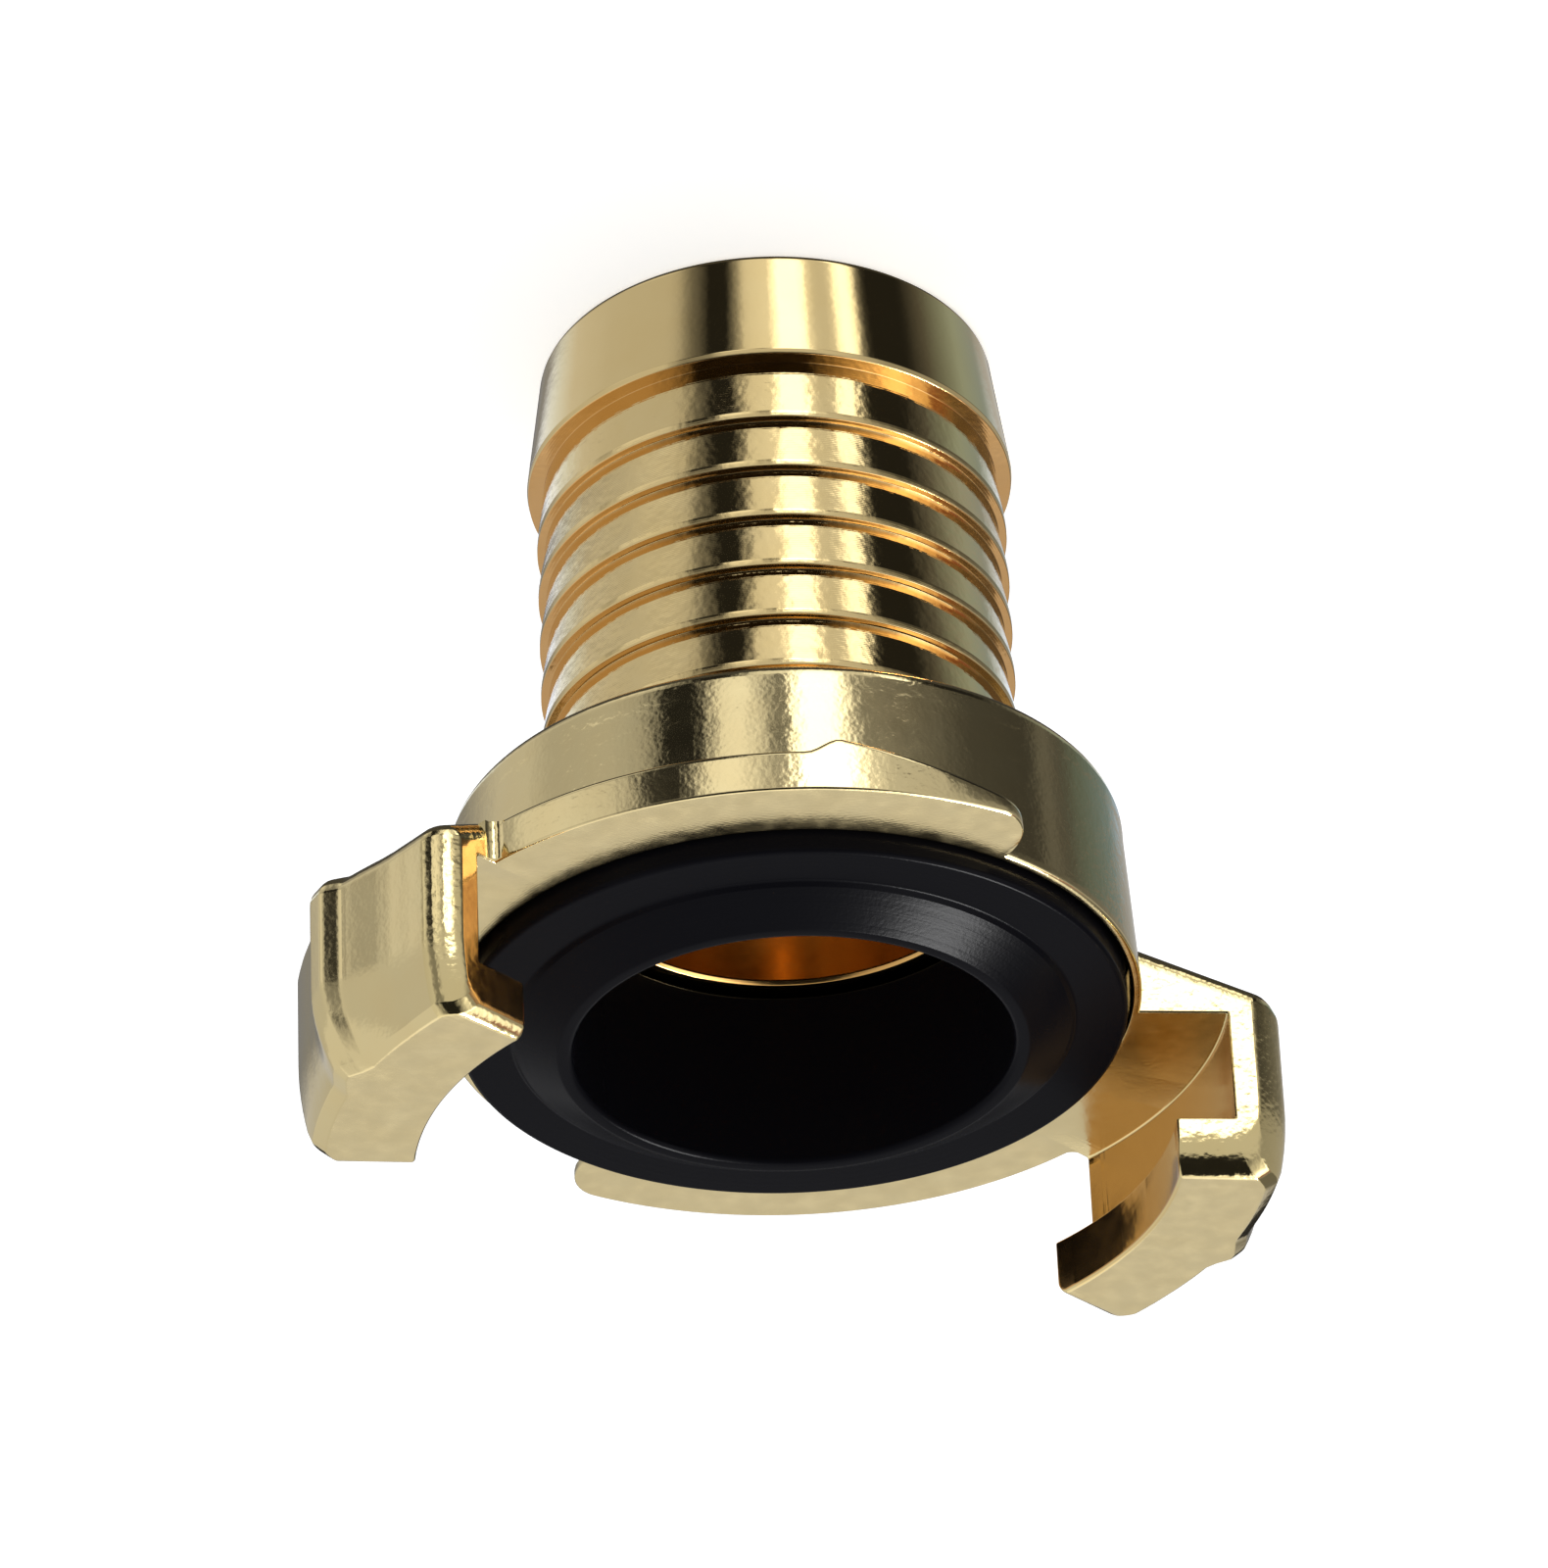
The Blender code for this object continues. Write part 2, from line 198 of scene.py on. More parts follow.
def makeFloor(values):
    bpy.ops.mesh.primitive_circle_add(vertices=64, radius=values["floorRadius"] * mm, fill_type="NGON")
    floor = bpy.context.object
    floor.name = "floor"
    material, tree, output = newMaterial("paleFloor")
    paint = addNode(tree, "ShaderNodeBsdfDiffuse", {"Color": values["floorColour"]})
    path = addNode(tree, "ShaderNodeLightPath").outputs
    lift = maths(tree, "MULTIPLY", seenDirectly(tree, path), values["floorLift"])
    glow = addNode(tree, "ShaderNodeEmission", {"Strength": lift})
    both = addNode(tree, "ShaderNodeAddShader", {0: paint.outputs[0], 1: glow.outputs[0]})
    tree.links.new(both.outputs[0], output.inputs["Surface"])
    material.cycles.emission_sampling = "NONE"
    floor.data.materials.append(material)
    floor.visible_glossy = False


def azimuthAround(tree, parts):
    # in radians, from the side nearest the camera
    return maths(tree, "ARCTAN2", maths(tree, "MULTIPLY", parts["X"], -1.0),
                 maths(tree, "MULTIPLY", parts["Y"], -1.0))


def blend(tree, value, rise, first, second):
    # from one colour to another while a value rises through a pair
    share = addNode(tree, "ShaderNodeMapRange", {"Value": value, "From Min": rise[0], "From Max": rise[1]},
                    interpolation_type="SMOOTHSTEP").outputs[0]
    return mixColours(tree, share, first, second)


def levelsAround(tree, azimuth, levels):
    # levels or colours against an azimuth
    share = maths(tree, "MULTIPLY_ADD", azimuth, 0.5 / math.pi, 0.5)
    return rampNode(tree, share, [(0.5 + at / 360.0, level) for at, level in levels])


# painted reflections: the colour that glossy rays see, painted for each way a wall faces towards this camera
def paintedReflections(tree, values, view):
    toward = addNode(tree, "ShaderNodeTexCoord").outputs["Generated"]
    parts = addNode(tree, "ShaderNodeSeparateXYZ", {0: toward}).outputs
    # a wall that mirrors a direction faces half way between it and the camera's direction
    toCamera = directionTo(view["azimuth"], view["elevation"])
    between = addNode(tree, "ShaderNodeVectorMath", {0: toward, 1: toCamera}, operation="ADD").outputs[0]
    between = addNode(tree, "ShaderNodeVectorMath", {0: between}, operation="NORMALIZE").outputs[0]
    wallParts = addNode(tree, "ShaderNodeSeparateXYZ", {0: between}).outputs
    wallTurn = azimuthAround(tree, wallParts)
    around = levelsAround(tree, wallTurn, values["facingDown"])
    for begins, complete, levels in values["walls"]:
        row = levelsAround(tree, wallTurn, levels)
        around = blend(tree, wallParts["Z"], (begins, complete), around, row)
    edges = levelsAround(tree, wallTurn, values["edges"])
    around = blend(tree, parts["Z"], values["edgesFrom"], around, edges)
    turned = azimuthAround(tree, parts)
    for name in ("low", "high"):
        above = levelsAround(tree, turned, values[name])
        around = blend(tree, parts["Z"], values[name + "From"], around, above)
    return blend(tree, parts["Z"], values["overheadFrom"], around, values["overhead"])


def makeWorld(values, view):
    world = bpy.data.worlds.new("studio")
    world.cycles.sampling_method = "NONE"
    bpy.context.scene.world = world
    world.use_nodes = True
    tree = world.node_tree
    tree.nodes.clear()
    output = tree.nodes.new("ShaderNodeOutputWorld")
    path = addNode(tree, "ShaderNodeLightPath").outputs
    mirrored = addNode(tree, "ShaderNodeBackground", {"Color": paintedReflections(tree, values, view)})
    level = addNode(tree, "ShaderNodeMix", {"Factor": seenDirectly(tree, path), "A": values["worldLight"],
                                            "B": 1.0}).outputs[0]
    plain = addNode(tree, "ShaderNodeBackground", {"Strength": level})
    either = addNode(tree, "ShaderNodeMixShader", {0: path["Is Glossy Ray"], 1: plain.outputs[0],
                                                   2: mirrored.outputs[0]})
    tree.links.new(either.outputs[0], output.inputs["Surface"])


def makeLamp(name, values, aim):
    data = bpy.data.lights.new(name, "AREA")
    data.shape = "DISK"
    data.size = values["size"] * mm
    data.energy = values["power"]
    lamp = linkObject(name, data)
    away = directionTo(values["azimuth"], values["elevation"])
    lamp.location = (Vector(aim) + away * values["distance"]) * mm
    lamp.rotation_euler = away.to_track_quat("Z", "Y").to_euler()
    lamp.visible_camera = False
    return lamp


makeFloor(studio)
makeWorld(studio, cameraView)
makeLamp("softLamp", studio["softLamp"], studio["lampAim"]).visible_glossy = False
makeLamp("sealLamp", studio["sealLamp"], studio["lampAim"]).visible_diffuse = False
print("studio set")

# forms: outlines with rounded corners, turned round the bore's axis or drawn along an arc
nearlyStraight = 1.565      # radians, half the angle at a corner that needs no round


def roundCorners(corners):
    # (x, y, radius, steps) corners of a closed outline, each with its round; radius 0 stays sharp
    points = []
    count = len(corners)
    for index, (x, y, radius, steps) in enumerate(corners):
        here = Vector((x, y))
        toBefore = Vector(corners[index - 1][:2]) - here
        toAfter = Vector(corners[(index + 1) % count][:2]) - here
        half = toBefore.angle(toAfter) / 2
        if radius <= 0:
            points.append((x, y))
            continue
        if half > nearlyStraight:
            # points close together instead, so that each section has as many as the next
            ahead = toAfter.normalized() * 0.002
            points += [tuple(here + ahead * step) for step in range(steps + 1)]
            continue
        reach = min(radius / math.tan(half), 0.49 * toBefore.length, 0.49 * toAfter.length)
        radius = reach * math.tan(half)
        toBefore.normalize()
        toAfter.normalize()
        centre = here + (toBefore + toAfter).normalized() * radius / math.sin(half)
        first = here + toBefore * reach - centre
        last = here + toAfter * reach - centre
        sweep = first.angle_signed(last)
        for step in range(steps + 1):
            turned = first.copy()
            turned.rotate(Matrix.Rotation(-sweep * step / steps, 2))
            points.append(tuple(centre + turned))
    return points


def meshFrom(name, points, faces):
    mesh = bpy.data.meshes.new(name)
    mesh.from_pydata(points, [], faces)
    form = bmesh.new()
    form.from_mesh(mesh)
    bmesh.ops.recalc_face_normals(form, faces=form.faces)
    form.to_mesh(mesh)
    form.free()
    return mesh


def turnSection(name, section, steps):
    # a closed section of (radius, height) points that doesn't touch the axis, turned once around
    points = []
    for step in range(steps):
        points += [place(radius, 360 * step / steps, height) for radius, height in section]
    count = len(section)
    faces = []
    for step in range(steps):
        here, following = step * count, (step + 1) % steps * count
        for index in range(count):
            ahead = (index + 1) % count
            faces.append((here + index, here + ahead, following + ahead, following + index))
    return meshFrom(name, points, faces)


def skinSections(name, sections):
    # like sections in a row, with both ends closed
    count = len(sections[0])
    points = [point for section in sections for point in section]
    last = (len(sections) - 1) * count
    faces = [tuple(range(count)), tuple(range(last, last + count))]
    for row in range(len(sections) - 1):
        for index in range(count):
            ahead = (index + 1) % count
            low, high = row * count, (row + 1) * count
            faces.append((low + index, low + ahead, high + ahead, high + index))
    return meshFrom(name, points, faces)


def valueAt(table, at):
    # a value between the table's points
    for (low, lowValue), (high, highValue) in zip(table, table[1:]):
        if at <= high:
            return lowValue + (highValue - lowValue) * max(0.0, at - low) / (high - low)
    return table[-1][1]


def insetAt(distance, run, inset=None, power=2.0):
    # how far a rounded end sets a side back, at a distance from the end; run is the round's length,
    # inset its depth, and a power below 2 flattens it towards a bevel
    left = max(0.0, 1 - distance / run)
    return (run if inset is None else inset) * (1 - max(0.0, 1 - left ** power) ** (1 / power))


# the turned wall: tail, ring, mouth, pocket and bore
wall = {
    "steps": 288,
    "bore": 10.7,
    "boreEdge": 0.3,
    "pocket": 13.9,
    "pocketFloor": 32.1,
    "mouth": 17.95,
    "mouthFloor": 36.6,
    "ringFront": 18.45,
    "ringBack": 17.95,
    "ringBackHeight": 29.9,
    "ringRows": 15,            # rows of faces up the ring's side, so that its shading stays even
    "ringRowsEnd": 1.0,        # above the ring's back
    "front": 40.2,
    "root": 12.36,
    "ridge": 12.78,
    "firstRidge": 11.0,
    "ridgePitch": 3.15,
    "ridgeCount": 6,
    "rootUpright": 0.24,       # how much of each root stands upright
    "lip": 0.4,                # how much of each ridge does
    "cone": 13.25,
    "coneLip": 0.3,
    "coneHeight": 7.2,
    "coneTip": 12.35,
    # rounds
    "frontRound": 0.18,
    "backRound": 0.8,
    "rootRounds": (0.15, 0.04),
    "ridgeRounds": (0.05, 0.25),
    "coneRounds": (0.05, 0.06, 0.25),
    "tipRound": 0.6,
    "tipEdge": 0.15,
    "innerRound": 0.2,
    "mouthRound": 0.12,
}


def ringCorners(values):
    corners = [(values["ringFront"], values["front"], values["frontRound"], 4)]
    end = values["ringBackHeight"] + values["ringRowsEnd"]
    for row in range(1, values["ringRows"]):
        share = row / values["ringRows"]
        corners.append((values["ringFront"] + (values["ringBack"] - values["ringFront"]) * share,
                        values["front"] + (end - values["front"]) * share, 0.0, 0))
    corners.append((values["ringBack"], values["ringBackHeight"], values["backRound"], 8))
    corners.append((values["root"], values["ringBackHeight"], values["backRound"], 8))
    return corners


def tailCorners(values):
    corners = []
    for index in reversed(range(values["ridgeCount"])):
        top = values["firstRidge"] + index * values["ridgePitch"]
        corners.append((values["root"], top + values["rootUpright"], values["rootRounds"][0], 3))
        corners.append((values["root"], top, values["rootRounds"][1], 2))
        corners.append((values["ridge"], top, values["ridgeRounds"][0], 3))
        corners.append((values["ridge"], top - values["lip"], values["ridgeRounds"][1], 4))
    atRoot, atTop, atLip = values["coneRounds"]
    corners.append((values["root"], values["coneHeight"], atRoot, 3))
    corners.append((values["cone"] - atTop, values["coneHeight"], atTop, 3))
    corners.append((values["cone"], values["coneHeight"] - values["coneLip"], atLip, 4))
    corners.append((values["coneTip"], 0.0, values["tipRound"], 7))
    return corners


def boreCorners(values):
    # up the bore from the tail's end, and out over the pocket's and the mouth's floors
    bore, edge, small = values["bore"], values["innerRound"], values["tipEdge"]
    return [(bore + small, 0.0, small, 2),
            (bore, values["boreEdge"], edge, 2),
            (bore, values["pocketFloor"] - edge, edge, 3),
            (bore + edge, values["pocketFloor"], small, 3),
            (values["pocket"], values["pocketFloor"], edge, 3),
            (values["pocket"], values["mouthFloor"], edge, 3),
            (values["mouth"], values["mouthFloor"], edge, 3),
            (values["mouth"], values["front"], values["mouthRound"], 3)]


# the claws: C-shaped sections drawn along an arc
claw = {
    "starts": (95.3, -84.7),       # azimuth of each claw's end B
    "span": 42.0,
    "outer": 26.1,                 # the radius that distances along the claw are measured at
    "buried": 18.2,
    "hook": 20.0,
    "slot": 23.1,
    "slotHeight": 6.4,
    "hookHeight": 9.65,
    "chamferHeight": 0.5,
    "chamferWidth": 0.7,
    "sideCurve": 5.0,
    "sideRows": (0.0, 0.15, 0.3, 0.45, 0.6, 0.75, 0.88),    # as shares of the curve's height
    # rounds at end B and end A: along the claw, outwards, and the power that insetAt takes
    "sideRounds": ((2.0, 1.75, 1.4), (1.5, 1.5, 1.4)),
    "hookRounds": ((1.0, 2.5), (0.8, 1.0)),                 # along the claw, and in height
    "armRound": 1.4,               # on the arm's back at both ends
    "slotRound": 0.13,
    "edgeRound": 0.25,
    "hookCorner": 0.12,
    "slotCorner": 0.15,
    "backRound": 1.2,
    "armRoot": 4.3,
    "armRootInset": 0.2,
    "armTip": 1.65,
    "armFillet": 0.7,
    "filletLean": 0.06,
    "ribPlace": 0.517,
    "stationStep": 0.3,            # between sections
    "ribStep": 0.1,                # the same near the rib
    "ribReach": (-1.3, 2.0),
    "leastStep": 0.008,
    # wall thickness outside the slot against the distance from the rib's crest, minus towards end B
    "upright": [(-10.4, 3.0), (-4.2, 3.05), (-3.0, 3.15), (-2.3, 3.3), (-1.5, 3.65), (-0.9, 4.0),
                (-0.55, 4.22), (-0.35, 4.3), (0.65, 4.25), (0.75, 4.21), (1.4, 3.56), (1.5, 3.48),
                (1.8, 3.37), (3.0, 3.05), (4.0, 2.8), (5.0, 2.65), (6.5, 2.58), (9.6, 2.6)],
    "foot": [(-10.4, 2.25), (-2.0, 2.4), (-0.5, 2.7), (0.0, 2.65), (0.75, 2.0), (1.4, 1.75), (5.0, 1.7),
             (9.6, 2.0)],
    "hookBorder": [(-10.4, 1.6), (-2.0, 1.75), (-0.5, 2.35), (0.0, 2.4), (0.75, 1.9), (1.4, 1.65),
                   (9.6, 1.5)],
}


def clawSide(values, along, drop):
    # radius of the claw's side at a height over the ring's front
    upright = values["slot"] + valueAt(values["upright"], along)
    foot = values["slot"] + valueAt(values["foot"], along)
    curved = max(0.0, drop - values["hookHeight"] + values["sideCurve"]) / values["sideCurve"]
    return upright + (foot - upright) * curved ** 2


def clawSection(values, azimuth, along, fromEnds):
    fromEnd = min(fromEnds)
    side = max(insetAt(at, *rounding) for at, rounding in zip(fromEnds, values["sideRounds"]))
    lowered = max(insetAt(at, *rounding) for at, rounding in zip(fromEnds, values["hookRounds"]))
    flat = insetAt(fromEnd, values["armRound"])
    inner = insetAt(fromEnd, values["slotRound"])
    top = values["hookHeight"] - lowered
    small = values["edgeRound"] * (1 - 0.8 * flat / values["armRound"])
    # the arm, with its sloping back
    upright = clawSide(values, along, 0.0)
    slope = (values["armRoot"] - values["armTip"]) / (upright - values["backRound"] - wall["ringFront"])
    outer = upright - side
    root = wall["ringFront"] - values["armRootInset"]
    rootBack, outerBack = [flat - values["armRoot"] + slope * (radius - wall["ringFront"])
                           for radius in (root, outer)]
    fillet = values["armFillet"]
    corners = [(values["buried"], rootBack - fillet, 0.0, 0),
               (root, rootBack - fillet, 0.0, 0),
               (root + values["filletLean"], rootBack, fillet * 0.9, 5),
               (outer, outerBack, max(0.15, values["backRound"] - flat), 8)]
    # the side, up to the hook's chamfer
    rise = values["hookHeight"] - values["sideCurve"]
    lastDrop = values["chamferHeight"]
    for share in values["sideRows"]:
        drop = rise + (top - lastDrop - rise) * share
        corners.append((clawSide(values, along, drop) - side, drop, 0.0, 0))
    # the hook and the slot
    border = values["slot"] + valueAt(values["hookBorder"], along) - side
    shoulder = min(clawSide(values, along, values["hookHeight"] - lastDrop) - side,
                   border + values["chamferWidth"])
    corners.append((shoulder, top - lastDrop, small, 4))
    corners.append((border, top, small, 4))
    corners.append((values["hook"] + inner, top, small, 4))
    corners.append((values["hook"] + inner, values["slotHeight"] + inner, values["hookCorner"], 3))
    corners.append((values["slot"] + inner, values["slotHeight"] + inner, values["slotCorner"], 3))
    corners.append((values["slot"] + inner, -inner, values["slotCorner"], 3))
    corners.append((values["buried"], -inner, 0.0, 0))
    return [place(radius, azimuth, wall["front"] + drop) for radius, drop in roundCorners(corners)]


def clawStations(values):
    # where a claw's sections stand: close together at both ends and over the rib
    length = math.radians(values["span"]) * values["outer"]
    rounds = [(values["slotRound"], 3), (values["armRound"], 4)]
    rounds += [(rounding[0], 10) for rounding in values["sideRounds"] + values["hookRounds"]]
    near = set()
    for radius, steps in rounds:
        near |= {round(radius * (1 - math.cos(math.pi / 2 * step / steps)), 4) for step in range(steps + 1)}
    near = sorted(near)
    near = [at for index, at in enumerate(near) if index == 0 or at - near[index - 1] > values["leastStep"]]
    stations = near + [length - at for at in near]
    crest = values["ribPlace"] * length
    ribStart, ribEnd = values["ribReach"]
    at = near[-1] + values["stationStep"]
    while at < length - near[-1] - values["stationStep"] / 2:
        stations.append(at)
        at += values["ribStep"] if ribStart < at - crest < ribEnd else values["stationStep"]
    return sorted(stations), length, crest


def makeClaw(values, start, name):
    stations, length, crest = clawStations(values)
    sections = []
    for at in stations:
        azimuth = start + math.degrees(at / values["outer"])
        sections.append(clawSection(values, azimuth, at - crest, (at, length - at)))
    return skinSections(name, sections)


# hollow rounds that join end A to the collar and to the ring behind it
junctions = [
    {"from": 21.88, "round": 0.65, "low": -2.3, "high": -0.08, "intoClaw": 0.5, "intoRing": 0.3},
    {"from": 18.42, "round": 0.9, "low": -3.3, "high": -2.2, "intoClaw": 0.5, "intoRing": 0.3},
]


def makeJunction(values, azimuth, name):
    size = values["round"]
    turns = [math.pi / 2 * step / 8 for step in range(9)]
    outline = [(size - size * math.cos(turn), size - size * math.sin(turn)) for turn in turns]
    outline += [(size, -values["intoRing"]), (-values["intoClaw"], -values["intoRing"]),
                (-values["intoClaw"], size)]
    sections = []
    for height in (values["low"], values["high"]):
        sections.append([place(values["from"] + out, azimuth + math.degrees(along / values["from"]),
                               wall["front"] + height) for along, out in outline])
    return skinSections(name, sections)


# the collar ramps, turned from each claw's end A
collar = {
    "span": 80.5,
    "crestTurn": 50.7,
    "riseTurn": 4.7,
    "bury": 6.0,
    "radius": 21.9,
    "thickness": 2.4,
    "crest": 3.15,
    "endThickness": 0.55,
    "endLength": 2.7,
    "backRound": 0.35,
    "frontRound": 0.14,
    "buried": 18.2,
    "leastWidth": 0.05,
    "steps": 92,
    "endSteps": 14,
}


def collarThicknessAt(values, turn):
    if turn < values["crestTurn"]:
        rise = max(0.0, 1 - (values["crestTurn"] - turn) / values["riseTurn"])
        return values["thickness"] + (values["crest"] - values["thickness"]) * rise ** 2 * (3 - 2 * rise)
    share = (turn - values["crestTurn"]) / (values["span"] - values["crestTurn"])
    return values["crest"] + (values["endThickness"] - values["crest"]) * share


def collarSection(values, azimuth, turn):
    left = math.radians(values["span"] - turn) * values["radius"]
    width = values["radius"] - wall["ringFront"]
    outer = values["radius"] - width * insetAt(left / values["endLength"], 1.0)
    outer = max(outer, wall["ringFront"] + values["leastWidth"])
    thickness = collarThicknessAt(values, turn)
    backRound = min(values["backRound"], 0.45 * thickness)
    corners = [(values["buried"], -thickness, 0.0, 0), (outer, -thickness, backRound, 6),
               (outer, 0.0, values["frontRound"], 4), (values["buried"], 0.0, 0.0, 0)]
    return [place(radius, azimuth, wall["front"] + drop) for radius, drop in roundCorners(corners)]


def makeCollar(values, start, name):
    steps, endSteps = values["steps"], values["endSteps"]
    endStart = values["span"] - math.degrees(values["endLength"] / values["radius"])
    turns = [-values["bury"] + (endStart + values["bury"]) * step / steps for step in range(steps)]
    turns += [values["span"] - (values["span"] - endStart) * (1 - math.sin(math.pi / 2 * step / endSteps))
              for step in range(endSteps + 1)]
    return skinSections(name, [collarSection(values, start + turn, turn) for turn in turns])


def takeModifiers(piece):
    # the mesh as the modifiers leave it becomes the piece's own
    graph = bpy.context.evaluated_depsgraph_get()
    result = bpy.data.meshes.new_from_object(piece.evaluated_get(graph))
    piece.modifiers.clear()
    piece.data = result


def joinForms(name, meshes):
    first = linkObject(name, meshes[0])
    others = [linkObject(mesh.name, mesh) for mesh in meshes[1:]]
    for other in others:
        union = first.modifiers.new(other.name, "BOOLEAN")
        union.operation = "UNION"
        union.solver = "MANIFOLD"
        union.object = other
    takeModifiers(first)
    for other in others:
        bpy.data.objects.remove(other, do_unlink=True)
    return first


def makeBody():
    outline = roundCorners(ringCorners(wall) + tailCorners(wall) + boreCorners(wall))
    meshes = [turnSection("turnedWall", outline, wall["steps"])]
    for number, start in enumerate(claw["starts"], start=1):
        meshes.append(makeClaw(claw, start, "claw%d" % number))
        meshes.append(makeCollar(collar, start + claw["span"], "collar%d" % number))
        for junction in junctions:
            meshes.append(makeJunction(junction, start + claw["span"], "junction%d" % number))
    return joinForms("brassBody", meshes)


# the seal
sealForm = {
    "steps": 288,
    "hole": 11.6,
    "sleeve": 13.6,
    "sleeveEnd": 32.4,
    "flange": 17.65,
    "flangeBack": 36.9,
    "band": 41.3,
    "bandInner": 14.9,
    "bandStep": 0.25,
    "lip": 42.8,
    "lipWidth": 0.8,
    "lipRound": 0.35,
    "bandRound": 0.3,
    "backRound": 0.2,
    "innerRound": 0.15,
}


def makeSeal(values):
    lip, step, back, inner = values["lipRound"], values["bandStep"], values["backRound"], values["innerRound"]
    corners = [(values["hole"], values["sleeveEnd"], back, 3),
               (values["hole"], values["lip"], lip, 6),
               (values["hole"] + values["lipWidth"], values["lip"], lip, 4),
               (values["bandInner"] - step, values["band"] + step, inner, 3),
               (values["bandInner"], values["band"], step, 4),
               (values["flange"], values["band"], values["bandRound"], 6),
               (values["flange"], values["flangeBack"], back, 3),
               (values["sleeve"], values["flangeBack"], inner, 3),
               (values["sleeve"], values["sleeveEnd"], back, 3)]
    return linkObject("rubberSeal", turnSection("rubberSeal", roundCorners(corners), values["steps"]))


def smoothShading(piece):
    # smooth over rounds, while wide flat faces stay flat
    piece.data.shade_smooth()
    piece.data.set_sharp_from_angle(angle=math.radians(32))
    weighted = piece.modifiers.new("weighted", "WEIGHTED_NORMAL")
    weighted.keep_sharp = True
    takeModifiers(piece)


body = makeBody()
seal = makeSeal(sealForm)
smoothShading(body)
smoothShading(seal)
print("body and seal made:", len(body.data.polygons), len(seal.data.polygons), "faces")

# Brass. Each finish has its colour and that of warmer patches in it. The colours of the bore, the slot
# and the step faces are painted shade instead: darker and more orange, as light bounced between brass
# faces would make them. Relief is the height of its marks, grain their number to the metre, waves the
# share of marks four times as wide, and lathe the share of turned lines.
brassLook = {
    "turned": {"colour": (0.73, 0.57, 0.28, 1.0), "shade": (0.70, 0.53, 0.24, 1.0), "roughness": 0.05,
               "relief": 0.0014, "grain": 3200.0, "waves": 0.8, "lathe": 0.12},
    "ridged": {"colour": (0.72, 0.57, 0.29, 1.0), "shade": (0.69, 0.52, 0.23, 1.0), "roughness": 0.06,
               "relief": 0.006, "grain": 2600.0, "waves": 1.0, "lathe": 0.1},
    "forged": {"colour": (0.71, 0.60, 0.33, 1.0), "shade": (0.69, 0.55, 0.28, 1.0), "roughness": 0.075,
               "relief": 0.0046, "grain": 4400.0, "waves": 0.9, "lathe": 0.0},
    "struck": {"colour": (0.70, 0.585, 0.31, 1.0), "shade": (0.68, 0.54, 0.25, 1.0), "roughness": 0.085,
               "relief": 0.0095, "grain": 3800.0, "waves": 1.0, "lathe": 0.0},
    "faced": {"colour": (0.70, 0.585, 0.33, 1.0), "shade": (0.67, 0.54, 0.28, 1.0), "roughness": 0.19,
              "relief": 0.006, "grain": 5200.0, "waves": 0.3, "lathe": 0.1},
    # painted shade: the bore's inside darker and more orange, as if lit by light bounced round it
    "bore": {"colour": (0.60, 0.36, 0.12, 1.0), "shade": (0.55, 0.31, 0.10, 1.0), "roughness": 0.15,
             "relief": 0.002, "grain": 2600.0, "waves": 1.0, "lathe": 0.3},
    # painted shade: the slot's inside darker and more orange, as if lit by light bounced between its walls
    "slot": {"colour": (0.62, 0.37, 0.14, 1.0), "shade": (0.56, 0.32, 0.11, 1.0), "roughness": 0.14,
             "relief": 0.004, "grain": 2600.0, "waves": 1.0, "lathe": 0.1},
    # painted shade: the ridges' step faces and end A's flat faces, darker and more orange, as if lit by
    # bounced light
    "shadedStep": {"colour": (0.66, 0.40, 0.17, 1.0), "shade": (0.58, 0.32, 0.11, 1.0), "roughness": 0.12,
                "relief": 0.005, "grain": 2600.0, "waves": 1.0, "lathe": 0.1},
}
brassMarks = {
    "patches": 420.0,              # to the metre, like the next
    "uneven": 900.0,
    "roughnessFrom": 0.8,          # shares of a finish's roughness
    "roughnessTo": 1.3,
    "latheLines": 42000.0,         # radians to the metre: lines 0.15 mm apart
}


def turnedPlace(tree):
    # a place on the piece, its distance from the bore's axis, and its height
    where = addNode(tree, "ShaderNodeTexCoord").outputs["Object"]
    parts = addNode(tree, "ShaderNodeSeparateXYZ", {0: where}).outputs
    squares = [maths(tree, "MULTIPLY", parts[name], parts[name]) for name in "XY"]
    radius = maths(tree, "SQRT", maths(tree, "ADD", *squares))
    return where, radius, parts["Z"]


def noise(tree, where, scale, detail=3.0):
    made = addNode(tree, "ShaderNodeTexNoise", {"Vector": where, "Scale": scale, "Detail": detail})
    return made.outputs["Fac"]


def bumpNode(tree, surface, relief):
    made = addNode(tree, "ShaderNodeBump", {"Height": surface, "Strength": 1.0, "Distance": relief * mm})
    return made.outputs[0]


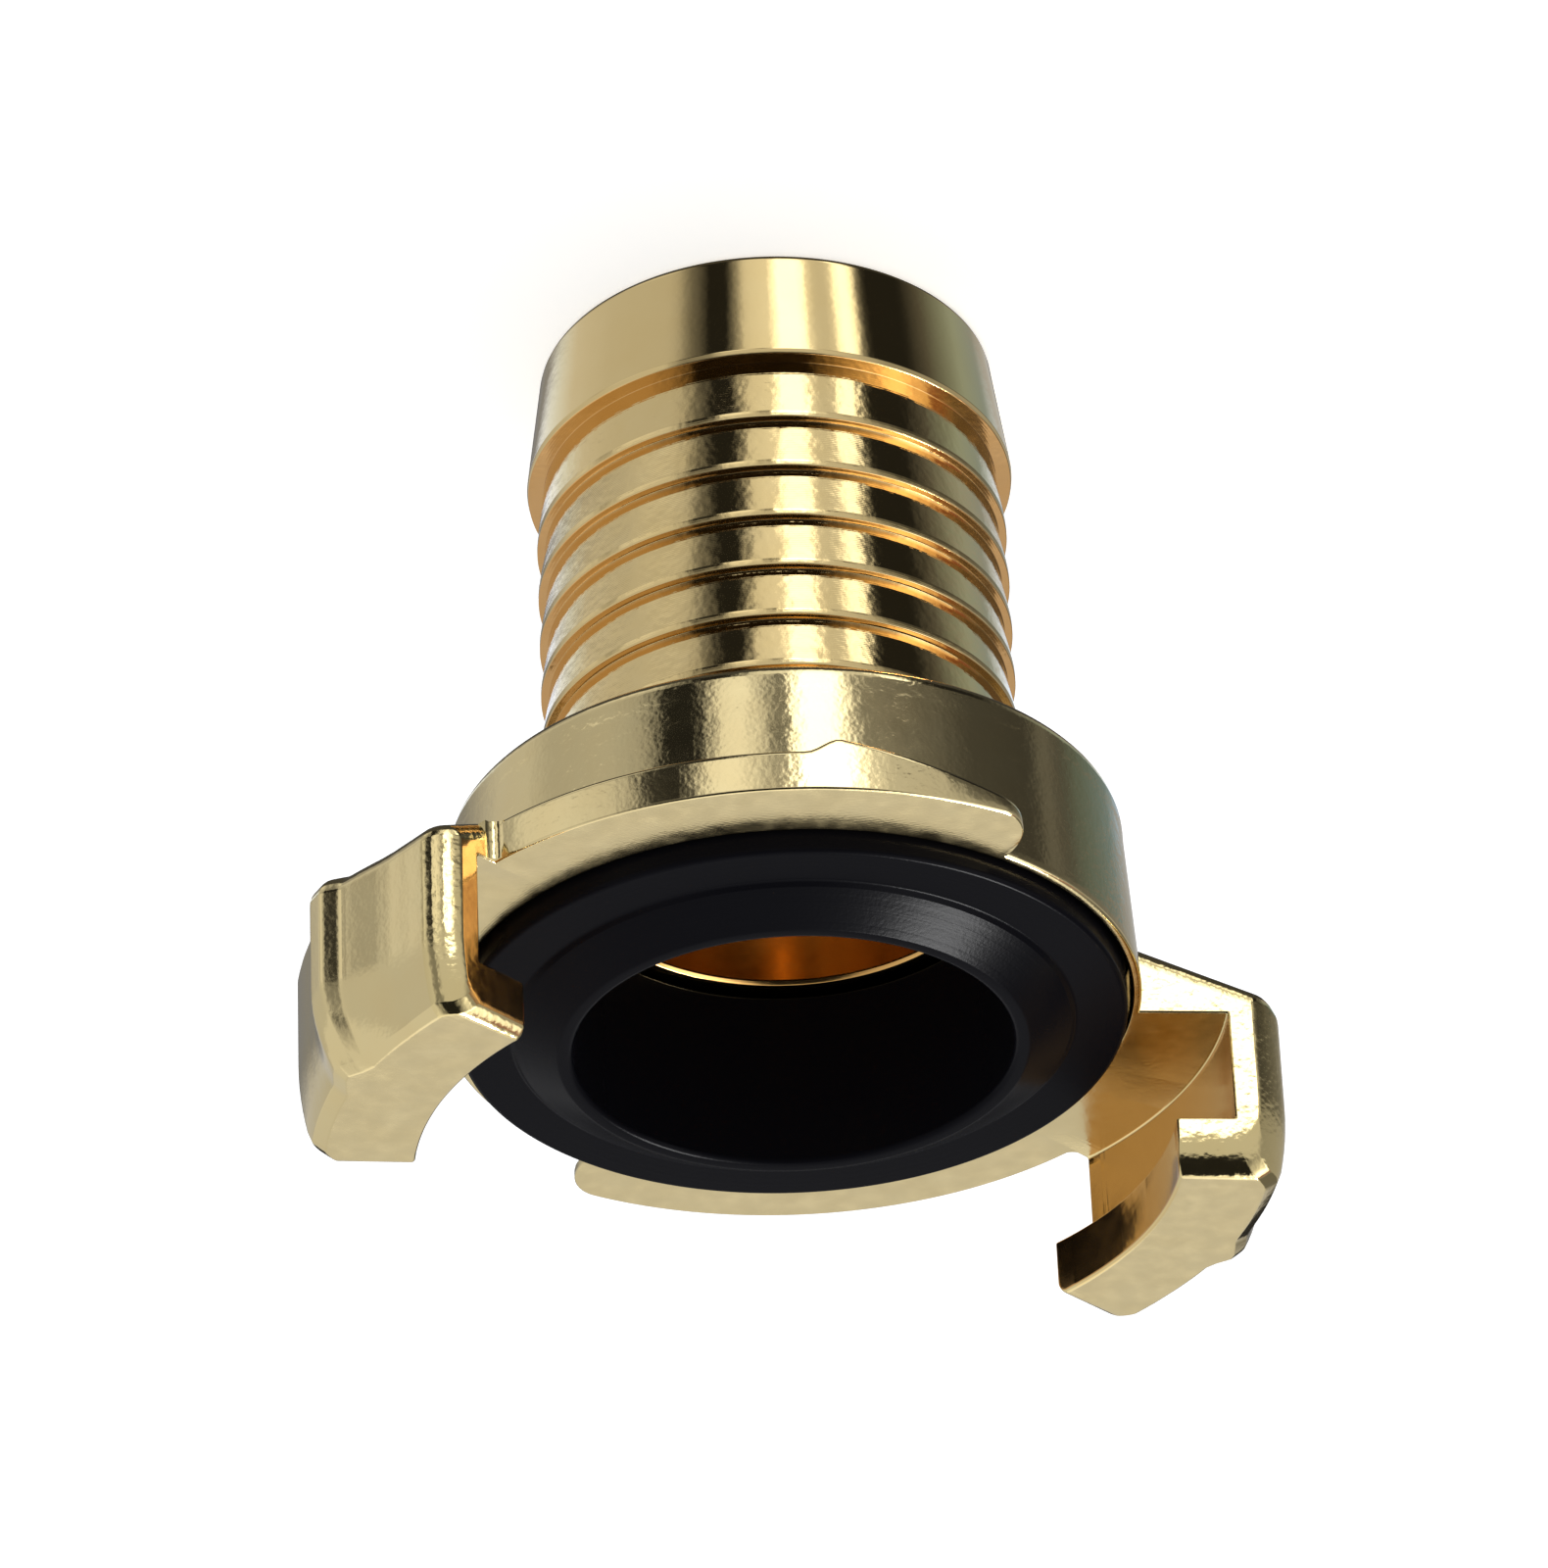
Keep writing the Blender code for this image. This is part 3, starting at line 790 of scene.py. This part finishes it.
def makeBrass(name, look, marks):
    material, tree, output = newMaterial(name)
    where, radius, height = turnedPlace(tree)
    colour = mixColours(tree, noise(tree, where, marks["patches"]), look["colour"], look["shade"])
    rough = addNode(tree, "ShaderNodeMapRange",
                    {"Value": noise(tree, where, marks["uneven"]), "From Min": 0.3, "From Max": 0.7,
                     "To Min": look["roughness"] * marks["roughnessFrom"],
                     "To Max": look["roughness"] * marks["roughnessTo"]}).outputs[0]
    fine = noise(tree, where, look["grain"], 2.0)
    waves = noise(tree, where, look["grain"] / 4, 2.0)
    turns = maths(tree, "MULTIPLY", maths(tree, "ADD", radius, height), marks["latheLines"])
    surface = maths(tree, "MULTIPLY_ADD", waves, look["waves"] * 4, fine)
    surface = maths(tree, "MULTIPLY_ADD", maths(tree, "SINE", turns), look["lathe"], surface)
    shader = addNode(tree, "ShaderNodeBsdfPrincipled",
                     {"Base Color": colour, "Metallic": 1.0, "Roughness": rough,
                      "Normal": bumpNode(tree, surface, look["relief"])})
    tree.links.new(shader.outputs[0], output.inputs["Surface"])
    return material


# rubber: moulded, with fine rings and a grain
rubberLook = {
    "colour": (0.005, 0.005, 0.007, 1.0),
    "roughness": 0.24,
    "ior": 1.085,
    "relief": 0.006,
    "rings": 3200.0,           # to the metre, like the grain
    "ringShare": 1.5,
    "grain": 5000.0,
}


def makeRubber(look):
    material, tree, output = newMaterial("mouldedRubber")
    where, radius, height = turnedPlace(tree)
    acrossRings = addNode(tree, "ShaderNodeCombineXYZ", {0: radius, 1: height}).outputs[0]
    rings = noise(tree, acrossRings, look["rings"])
    surface = maths(tree, "MULTIPLY_ADD", rings, look["ringShare"], noise(tree, where, look["grain"], 2.0))
    shader = addNode(tree, "ShaderNodeBsdfPrincipled",
                     {"Base Color": look["colour"], "Roughness": look["roughness"], "IOR": look["ior"],
                      "Normal": bumpNode(tree, surface, look["relief"])})
    tree.links.new(shader.outputs[0], output.inputs["Surface"])
    return material


# which finish or painted shade goes where on the body: how far it reaches, and how far a face may turn
finishAndShadeReach = {
    "margin": 0.05,
    "endB": (-0.5, 2.2),       # along the claw, from its end B
    "endA": (-1.7, 0.5),       # the same, from its end A
    "endFlat": 0.2,            # this and the rest are parts of a face's normal
    "slotWall": 0.9,
    "frontFace": 0.98,
    "boreWall": 0.2,
    "stepFace": 0.6,
}


def clawEndAt(middle, reach):
    # the end of a claw that a place is at, if any
    azimuth = math.degrees(math.atan2(-middle.x, -middle.y))
    length = math.radians(claw["span"]) * claw["outer"]
    for start in claw["starts"]:
        turn = (azimuth - start + 20) % 360 - 20
        along = math.radians(turn) * claw["outer"]
        if reach["endB"][0] < along < reach["endB"][1]:
            return "B"
        if reach["endA"][0] < along - length < reach["endA"][1]:
            return "A"
    return ""


def finishOrPaintedShadeOf(middle, normal, reach):
    # by the face's place in millimetres and its normal
    radius = math.hypot(middle.x, middle.y)
    outwards = (normal.x * middle.x + normal.y * middle.y) / radius
    margin = reach["margin"]
    inSlot = middle.z > wall["front"] + 0.02 and claw["hook"] - 0.3 < radius < claw["slot"] + margin
    # the slot's inside gets painted shade
    if inSlot and outwards < -reach["slotWall"]:
        return "slot"
    if inSlot and outwards > reach["slotWall"] and radius > claw["hook"]:
        return "slot"
    if normal.z > reach["frontFace"] and middle.z > wall["front"] - 0.01:
        return "faced"
    # the bore's inside gets painted shade
    if outwards < -reach["boreWall"] and radius < wall["pocket"] + margin:
        return "bore"
    end = clawEndAt(middle, reach) if radius > claw["hook"] else ""
    if end:
        # end A's flat face gets painted shade
        onFlat = max(abs(normal.z), abs(outwards)) < reach["endFlat"] and middle.z > wall["front"] - 0.5
        return "shadedStep" if end == "A" and onFlat else "struck"
    if middle.z > wall["ringBackHeight"] - margin and outwards > -0.1 and radius > wall["root"] + 0.9:
        return "forged"
    onTail = wall["root"] - 0.1 < radius < wall["cone"] and middle.z < wall["ringBackHeight"] - 0.3
    # the step faces on the tail get painted shade
    if onTail and normal.z > reach["stepFace"]:
        return "shadedStep"
    onRidges = middle.z > wall["coneHeight"] + 0.1 and radius > wall["root"] - margin
    return "ridged" if onRidges and outwards > 0 else "turned"


def dressBody(piece, look):
    piece.data.materials.clear()
    names = list(look)
    for name in names:
        piece.data.materials.append(makeBrass(name + "Brass", look[name], brassMarks))
    for face in piece.data.polygons:
        face.material_index = names.index(finishOrPaintedShadeOf(face.center / mm, face.normal, finishAndShadeReach))


dressBody(body, brassLook)
seal.data.materials.clear()
seal.data.materials.append(makeRubber(rubberLook))
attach(body, "root")
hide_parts("coupling_body")
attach(seal, "root")
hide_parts("seal_ring")
print("materials set")
